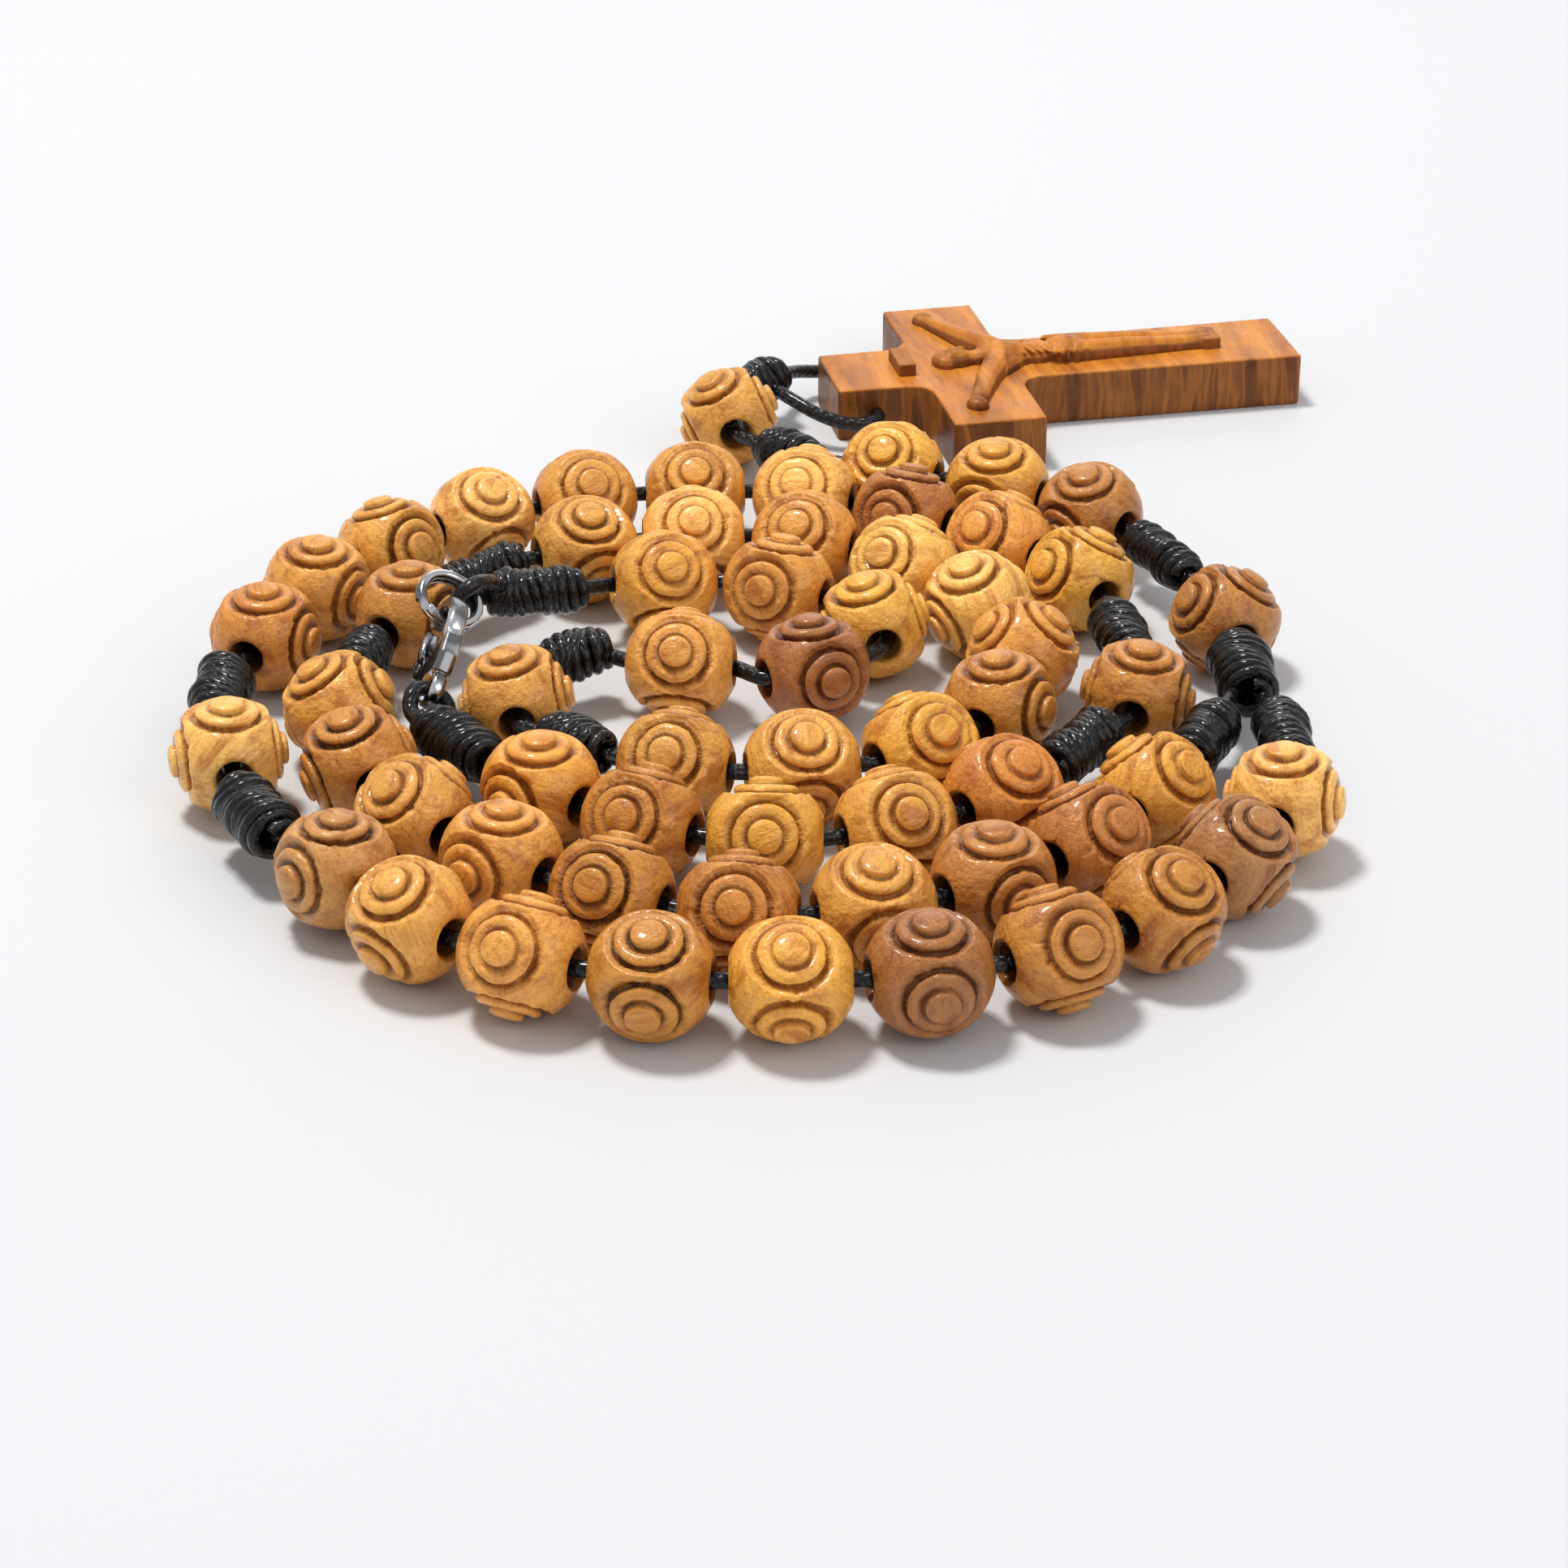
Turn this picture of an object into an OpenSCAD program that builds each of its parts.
// Rosary of carved round beads on a knotted cord, laid out in a flat coil.
// Millimetres, +Z up, the surface it lies on is z = 0.

/* [Beads] */
// Diameter of every bead
bead_d = 10; // [9.6:0.1:10]
// Diameter of the hole through a bead
bore_d = 3; // [2.6:0.1:3.2]
// Radius of the round button in each carved boss
button_r = 1.55; // [1.2:0.05:1.6]
// Depth of the groove around the button
inner_groove = 0.35; // [0.2:0.05:0.5]
// Depth of the groove around the boss
outer_groove = 0.45; // [0.2:0.05:0.6]

/* [Cord] */
// Diameter of the waxed cord
cord_d = 1.4; // [1.2:0.1:1.5]
// Greatest diameter of a barrel knot
knot_d = 5; // [4:0.1:5]
// Distance from one wrap of a knot to the next
wrap_pitch = 0.9; // [0.8:0.05:0.9]

/* [Crucifix] */
cross_length = 49; // [46:1:50]
cross_span = 31.5; // [29:0.5:32]
beam_w = 10; // [9:0.5:10]
board_t = 5.4; // [5:0.1:6]
// Height of the carved figure above the board
relief_h = 1.4; // [0.8:0.1:1.6]
cord_hole_d = 2.4; // [2.2:0.1:2.6]

/* [Clasp] */
clasp_t = 1.8; // [1.6:0.1:2]
wire_d = 0.9; // [0.7:0.1:0.9]

/* [Hidden] */
$fn = 48;

// Routes, from bead to bead. One letter of the string is one point:
// a Ave bead, P Pater bead, L long knot, S short knot, J junction knot,
// e plain cord. A point without z lies at the height of a bead's centre.
first_kinds = "eLaaaaaaaaaaLPLaaaaaaaaaaLPLaaaaaLe";
first_route = [
  [39.8, -18], [41.2, -27.8],
  [40, -38.5], [35, -48], [28.5, -56.5], [20, -62.5], [10, -66],
  [-0.5, -67], [-11, -66.5], [-21, -63.5], [-30, -58], [-36.5, -50],
  [-44, -41], [-47.5, -30.5], [-49.5, -19],
  [-47, -8], [-43.5, 2], [-37.5, 10.5], [-29.5, 17], [-20, 21.5],
  [-9.5, 23.5], [1, 22.5], [10.5, 18], [19, 12], [26, 4],
  [29, -8], [29.5, -19.5], [24, -29],
  [17, -37.5], [8, -43], [-2.5, -45], [-12.5, -42.5], [-21, -36.5],
  [-28.5, -28.5], [-32, -22]
];
second_kinds = "eLaaaaaSPSaaaaaaaaaaLPSaaaaaaaaaaLe";
second_route = [
  [-28.5, -5.5, 8], [-23.5, -2.5, 6.8],
  [-12, 3], [-1.5, 2], [7, -5.5], [1.5, -14.5], [-10, -13.5],
  [-19.5, -12], [-24, -20.5], [-18.5, -28.5],
  [-10, -32.5], [0.5, -33], [10.5, -29.5], [17.5, -21.5], [20, -11.5],
  [16.5, -1.5], [10, 6.5], [1, 12], [-9.5, 13], [-19.5, 10.5],
  [-28.6, 5.3], [-34.5, -3.5], [-38, -12.5],
  [-39, -22], [-36.5, -32], [-31, -41], [-23.5, -48.5], [-14.5, -54],
  [-4.5, -57], [6, -56], [15.5, -52], [23.5, -45.5], [29.5, -37],
  [34.5, -27.5], [38.2, -18]
];
tail_kinds = "JPLaaaSPSe";
tail_route = [
  [39, -15], [38.5, -4.5], [34, 9],
  [28, 18.5], [19.5, 24.5], [9.5, 28.5],
  [-0.5, 33], [-6.5, 42], [-3.5, 51], [1.5, 51]
];

// How far each bead is turned about its own bore, in steps of 5 degrees
first_spin = [
  0, 0, 5, 60, 60, 35, 85, 60, 75, 35, 65, 5, 0, 0, 0, 0, 5, 70, 30, 45,
  40, 50, 70, 50, 60, 0, 85, 0, 60, 40, 30, 35, 0, 0, 0
];
second_spin = [
  0, 0, 45, 70, 15, 10, 40, 0, 10, 0, 50, 25, 45, 85, 40, 70, 40, 45, 45, 70,
  0, 0, 0, 30, 15, 35, 85, 55, 55, 15, 0, 50, 45, 0, 0
];
tail_spin = [0, 35, 0, 75, 80, 50, 0, 65, 0, 0];

// A knot's half length, and the stretch of straight cord inside each thing
long_wraps = 11;
short_wraps = 8;
junction_wraps = 11;
junction_d = 5.6;
function half(kind) =
  kind == "L" ? long_wraps * wrap_pitch / 2 :
  kind == "S" ? short_wraps * wrap_pitch / 2 :
  kind == "J" ? junction_wraps * wrap_pitch / 2 :
  kind == "e" ? 0 : bead_d / 2 - 0.4;

function unit(v) = v / norm(v);
function at(route, i) =
  let (p = route[i]) [p[0], p[1], len(p) > 2 ? p[2] : bead_d / 2];
function heading(route, i) =
  unit(at(route, min(i + 1, len(route) - 1)) - at(route, max(i - 1, 0)));
function turn_z(t) = atan2(t[1], t[0]);
function turn_y(t) = -asin(t[2]);

// Places children at a route's point with +X along the cord
module on_route(route, i) {
  t = heading(route, i);
  translate(at(route, i)) rotate([0, turn_y(t), turn_z(t)]) children();
}

// The centre line of the cord: straight through each bead and knot
function line(route, kinds) = [
  for (i = [0:len(route) - 1])
    let (p = at(route, i), t = heading(route, i), h = half(kinds[i]))
      for (s = kinds[i] == "e" ? [0] : kinds[i] == "J" ? [0, 1] : [-1, 1])
        [p + s * h * t, t]
];
function headings(points) = [
  for (i = [0:len(points) - 1])
    [points[i], unit(points[min(i + 1, len(points) - 1)] - points[max(i - 1, 0)])]
];

// One closed tube with 8 sides through rings of [centre, direction]
module tube(rings, d) {
  n = 8;
  last = len(rings) - 1;
  vertices = [
    for (ring = rings)
      let (t = ring[1], side = unit(cross([0.02, 0, 1], t)), up = cross(t, side))
        for (k = [0:n - 1])
          ring[0] + d / 2 * (cos(k * 360 / n) * side + sin(k * 360 / n) * up)
  ];
  faces = concat(
    [[for (k = [0:n - 1]) k]],
    [for (r = [0:last - 1]) for (k = [0:n - 1]) let (a = r * n, b = (k + 1) % n)
      [a + k, a + n + k, a + b]],
    [for (r = [0:last - 1]) for (k = [0:n - 1]) let (a = r * n, b = (k + 1) % n)
      [a + b, a + n + k, a + n + b]],
    [[for (k = [n - 1:-1:0]) last * n + k]]
  );
  polyhedron(vertices, faces);
}

// The cut around one carved boss, about +Z, with the bead's centre at 0
module boss_cut() {
  r = bead_d / 2;
  function skin(x) = sqrt(r * r - x * x);
  ring_r = button_r + 0.35;
  edge_r = ring_r + 0.9;
  rotate_extrude() {
    polygon([
      [button_r - 0.08, r + 0.5], [button_r, skin(button_r)],
      [button_r + 0.1, skin(button_r) - inner_groove],
      [ring_r - 0.1, skin(ring_r) - inner_groove],
      [ring_r, skin(ring_r)], [ring_r + 0.08, r + 0.5]
    ]);
    polygon([
      [edge_r - 0.04, r + 0.5], [edge_r, skin(edge_r)],
      [edge_r + 0.08, skin(edge_r) - outer_groove],
      [edge_r + 0.3, skin(edge_r + 0.3) - outer_groove],
      [edge_r + 0.65, skin(edge_r + 0.65)], [edge_r + 0.7, r + 0.5]
    ]);
  }
}

// A bead with its bore along X and four bosses around it
module bead(spin) {
  r = bead_d / 2;
  rotate([spin, 0, 0]) difference() {
    sphere(r);
    rotate([0, 90, 0]) cylinder(d = bore_d, h = 2 * bead_d, center = true);
    for (s = [-1, 1])
      translate([s * (r - 0.3), 0, 0]) rotate([0, s * 90, 0])
        cylinder(r1 = bore_d / 2, r2 = bore_d / 2 + 0.8, h = 0.8, center = true);
    for (a = [0, 90, 180, 270]) rotate([a, 0, 0]) boss_cut();
  }
}

// A barrel of cord wraps about X
module barrel(wraps, d) {
  step = wrap_pitch;
  dip = 0.15;
  // How much thinner the wraps at each end are, from the end inwards
  taper = [0.7, 0.3, 0.1];
  length = wraps * step;
  rotate([0, 90, 0]) translate([0, 0, -length / 2]) rotate_extrude()
    polygon(concat(
      [[0, 0]],
      [for (w = [0:wraps - 1])
        let (from_end = min(w, wraps - 1 - w), r = d / 2 - (from_end < 3 ? taper[from_end] : 0))
          for (k = [[0.02, dip], [0.3, 0.03], [0.7, 0.03], [0.98, dip]])
            [r - k[1], (w + k[0]) * step]],
      [[0, length]]
    ));
}

module beads_of(route, spins, first, last) {
  color("peru") for (i = [first:last]) on_route(route, i) bead(spins[i]);
}

module knots_of(route, kinds) {
  color("dimgray") for (i = [0:len(route) - 1]) {
    if (kinds[i] == "L") on_route(route, i) barrel(long_wraps, knot_d);
    if (kinds[i] == "S") on_route(route, i) barrel(short_wraps, knot_d);
  }
}

// The cord along a route, less the ring at an end that has only a loop beyond
module cord_of(route, kinds, skip_first = 0, skip_last = 0) {
  rings = line(route, kinds);
  color("black")
    tube([for (i = [skip_first:len(rings) - 1 - skip_last]) rings[i]], cord_d);
}

// ---- Crucifix, in its own frame: x down the long beam, y across ----
cross_at = [3.5, 52.5, 0];
cross_turn = 12;
head_to_arm = 9.4;
arm_w = 9.6;
foot_w = 11;
corner_r = 2.2;
hole_x = 4;
hole_z = board_t / 2;

module in_cross() { translate(cross_at) rotate([0, 0, cross_turn]) children(); }
function cross_point(p) =
  cross_at + [p[0] * cos(cross_turn) - p[1] * sin(cross_turn),
              p[0] * sin(cross_turn) + p[1] * cos(cross_turn), p[2]];

module fillet(x, y, sx, sy) {
  translate([x, y]) difference() {
    translate([sx < 0 ? -corner_r : -0.5, sy < 0 ? -corner_r : -0.5])
      square(corner_r + 0.5);
    translate([sx * corner_r, sy * corner_r]) circle(corner_r);
  }
}

module board() {
  h = beam_w / 2;
  arm = head_to_arm + arm_w;
  difference() {
    linear_extrude(board_t) {
      polygon([[0, -h], [cross_length, -foot_w / 2],
               [cross_length, foot_w / 2], [0, h]]);
      translate([head_to_arm, -cross_span / 2]) square([arm_w, cross_span]);
      for (s = [-1, 1]) {
        fillet(head_to_arm, s * h, -1, s);
        fillet(arm, s * h, 1, s);
      }
    }
    translate([hole_x, 0, hole_z]) rotate([90, 0, 0])
      cylinder(d = cord_hole_d, h = 2 * beam_w, center = true);
  }
}

// A flat limb that tapers from radius r1 at a to r2 at b, with round ends
module limb(a, b, r1, r2) {
  across = unit([a[1] - b[1], b[0] - a[0]]);
  polygon([a + r1 * across, a - r1 * across, b - r2 * across, b + r2 * across]);
  translate(a) circle(r1);
  translate(b) circle(r2);
}

// The carved figure's outline, seen from above, and the plate over its head
module figure() {
  limb([13.2, 0], [14.4, 0], 1.9, 1.2);
  limb([17.2, 0], [22.6, 0], 2.6, 1.8);
  limb([23, 0], [31.5, 0], 2.4, 1.9);
  limb([31.5, 0], [41.5, 0], 1.9, 1.2);
  for (s = [-1, 1]) {
    limb([16.6, s * 1.6], [14.2, s * 7], 1.2, 0.9);
    limb([14.2, s * 7], [12.4, s * 12.2], 0.9, 0.75);
  }
}

// ---- Clasp, in its own frame: x from its eye to its mouth ----
clasp_at = [-31.3, -22, 5.5];
clasp_turn = [-58, -18, 86];
claw = [8.2, 0];
claw_in = 2.4;
claw_out = 3.6;
pivot = [5.5, 2.1];
eye = [1.6, 0];
ring_r = 2.7;
ring_swing = -2;
ring_seat = claw + 1.65 * [cos(ring_swing), sin(ring_swing)];

module in_clasp() {
  translate(clasp_at) rotate([0, 0, clasp_turn[2]]) rotate([0, clasp_turn[1], 0])
    rotate([clasp_turn[0], 0, 0]) children();
}
function about_x(v, a) = [v[0], v[1] * cos(a) - v[2] * sin(a), v[1] * sin(a) + v[2] * cos(a)];
function about_y(v, a) = [v[0] * cos(a) + v[2] * sin(a), v[1], -v[0] * sin(a) + v[2] * cos(a)];
function about_z(v, a) = [v[0] * cos(a) - v[1] * sin(a), v[0] * sin(a) + v[1] * cos(a), v[2]];
function clasp_point(p) =
  clasp_at + about_z(about_y(about_x(p, clasp_turn[0]), clasp_turn[1]), clasp_turn[2]);

// A pie slice about the claw's centre, from angle a to angle b
module slice(a, b, r) {
  translate(claw)
    polygon(concat([[0, 0]], [for (k = [0:6]) let (t = a + (b - a) * k / 6)
      [r * cos(t), r * sin(t)]]));
}

lever_from = 40;
lever_to = 138;
// How far from its pivot the lever's free end reaches
catch_r = 5;
lug_t = 0.8;

module clasp_plate() {
  linear_extrude(clasp_t, center = true) difference() {
    union() {
      translate(claw) circle(claw_out);
      translate(eye) circle(1.8);
      polygon([[1.6, -1.8], [6.2, -3], [6.2, 3], [1.6, 1.8]]);
    }
    translate(claw) circle(claw_in);
    slice(lever_from - 4, lever_to + 3, 6);
    intersection() {
      translate(pivot) circle(catch_r + 0.3);
      slice(-20, lever_from, 6);
    }
    translate(eye) circle(1.05);
  }
}

module lever_plate() {
  linear_extrude(clasp_t - 0.2, center = true) difference() {
    intersection() {
      translate(claw) circle(claw_out);
      translate(pivot) circle(catch_r);
      slice(lever_from, lever_to, 6);
    }
    translate(claw) circle(claw_in);
  }
}

module barrel_hole(r) {
  translate([pivot[0], pivot[1], 0]) cylinder(r = r, h = 4, center = true);
}

// Turns from the ring's centre: x away from the claw, z as the clasp's
module in_ring() {
  in_clasp() translate([ring_seat[0], ring_seat[1], 0]) rotate([0, 0, ring_swing])
    translate([ring_r, 0, 0]) children();
}
function ring_point(p) =
  let (q = about_z(p + [ring_r, 0, 0], ring_swing))
    clasp_point(q + [ring_seat[0], ring_seat[1], 0]);

// ---- Cord loops. Each starts and ends inside its knot. ----
first_end = at(first_route, 33) + 3 * heading(first_route, 33);
clasp_loop = concat(
  [first_end + [0.62, 0.42, 0], clasp_point([-1.4, -0.3, -1.5])],
  [for (a = [-90:30:90]) clasp_point([1.5 * cos(a), 0, 1.75 * sin(a)])],
  [clasp_point([-1.4, 0.3, 1.5]), first_end - [0.62, 0.42, 0]]
);
ring_away = [cos(40), 0, -sin(40)];
second_start = at(second_route, 1) - 3 * heading(second_route, 1);
ring_loop = concat(
  [second_start + [-0.3, 0.4, -0.6], ring_point(3.9 * ring_away + [0, 1.5, 0])],
  [for (a = [0:36:180])
    ring_point(ring_away * (2.65 - 1.45 * sin(a)) + [0, 1.45 * cos(a), 0])],
  [ring_point(3.9 * ring_away - [0, 1.1, 0]), second_start - [-0.3, 0.4, -0.6]]
);
cross_loop = [for (p = [
  [-6, -1.1, 4.8], [-4.2, -3.8, 4.2], [-2, -6.1, 3.4], [0.6, -7.2, 2.7],
  [2.6, -7.2, 2.7], [3.8, -6.3, 2.7], [4, -5.2, 2.7],
  [4, 5.2, 2.7], [3.8, 6.3, 2.7], [2.6, 7.2, 2.7],
  [0.6, 7.2, 2.7], [-2, 5.9, 3.4], [-4.2, 3.4, 4.2], [-6, 0.4, 4.8]
]) cross_point(p)];

// ---- One module for each node ----
module first_half_cord() { cord_of(first_route, first_kinds, skip_last = 1); }
module second_half_cord() { cord_of(second_route, second_kinds, skip_first = 1); }
module tail_cord() { cord_of(tail_route, tail_kinds, skip_last = 1); }
module clasp_cord_loop() { color("black") tube(headings(clasp_loop), cord_d); }
module ring_cord_loop() { color("black") tube(headings(ring_loop), cord_d); }
module crucifix_cord_loop() { color("black") tube(headings(cross_loop), cord_d); }
module first_half_knots() { knots_of(first_route, first_kinds); }
module second_half_knots() { knots_of(second_route, second_kinds); }
module tail_knots() { knots_of(tail_route, tail_kinds); }
module junction_knot() {
  color("gray") on_route(tail_route, 0) barrel(junction_wraps, junction_d);
}

module clasp_body() {
  color("silver") in_clasp() difference() {
    union() {
      clasp_plate();
      translate([pivot[0], pivot[1], 0]) cylinder(r = 1.2, h = clasp_t, center = true);
    }
    translate([pivot[0], pivot[1], 0]) cylinder(r = 1.3, h = lug_t + 0.3, center = true);
    translate([3.6, 0.9, -lug_t / 2 - 0.15]) cube([1.4, 0.9, lug_t + 0.3]);
    translate([pivot[0], pivot[1], -lug_t / 2 - 0.15]) cube([1.6, 1.2, lug_t + 0.3]);
    barrel_hole(0.35);
  }
}
module clasp_lever() {
  color("lightsteelblue") in_clasp() difference() {
    union() {
      difference() {
        lever_plate();
        translate([pivot[0], pivot[1], 0]) cylinder(r = 1.6, h = 4, center = true);
      }
      translate([pivot[0], pivot[1], 0]) cylinder(r = 0.9, h = lug_t, center = true);
      translate([pivot[0], pivot[1] - 0.35, -lug_t / 2]) cube([2, 0.9, lug_t]);
      translate([claw[0] - 0.6, claw_out + 0.2, 0]) cylinder(r = 0.8, h = 1.2, center = true);
    }
    barrel_hole(0.4);
  }
}
module clasp_pin() {
  color("white") in_clasp() translate([pivot[0], pivot[1], 0])
    cylinder(r = 0.35, h = clasp_t, center = true);
}
module clasp_spring() {
  color("gold") in_clasp() translate([3.6, 1.2, -0.35]) cube([0.9, 0.15, 0.7]);
}
module clasp_ring() {
  color("silver") in_ring() rotate([90, 0, 0]) rotate_extrude()
    translate([ring_r, 0]) circle(wire_d / 2);
}
module crucifix() {
  color("chocolate") in_cross() difference() {
    union() {
      board();
      translate([0, 0, board_t - 0.2]) linear_extrude(relief_h + 0.2) figure();
      translate([6.8, -3, board_t - 0.2]) cube([2, 6, relief_h - 0.4]);
    }
    translate([hole_x, 0, hole_z]) rotate([90, 0, 0])
      cylinder(d = cord_hole_d, h = 2 * beam_w, center = true);
  }
}

// Single beads: where each one sits on its route
module bead_node(name, route, spins, i) {
  beads_of(route, spins, i, i);
}

first_half_cord();
second_half_cord();
tail_cord();
clasp_cord_loop();
ring_cord_loop();
crucifix_cord_loop();
first_half_knots();
second_half_knots();
tail_knots();
junction_knot();
clasp_body();
clasp_lever();
clasp_pin();
clasp_spring();
clasp_ring();
crucifix();
bead_node("pater_bead_1", first_route, first_spin, 13);
bead_node("pater_bead_2", first_route, first_spin, 26);
bead_node("pater_bead_3", second_route, second_spin, 8);
bead_node("pater_bead_4", second_route, second_spin, 21);
bead_node("pater_bead_5", tail_route, tail_spin, 1);
bead_node("pater_bead_6", tail_route, tail_spin, 7);
for (k = [1:3])
  bead_node(str("tail_ave_bead_", k), tail_route, tail_spin, 2 + k);
for (k = [1:10])
  bead_node(str("decade_1_bead_", k), first_route, first_spin, 1 + k);
for (k = [1:10])
  bead_node(str("decade_2_bead_", k), first_route, first_spin, 14 + k);
for (k = [1:10])
  bead_node(str("decade_5_bead_", k), second_route, second_spin, 22 + k);
union() {  // decade_3_beads
  beads_of(first_route, first_spin, 28, 32);
  beads_of(second_route, second_spin, 2, 6);
}
beads_of(second_route, second_spin, 10, 19);  // decade_4_beads
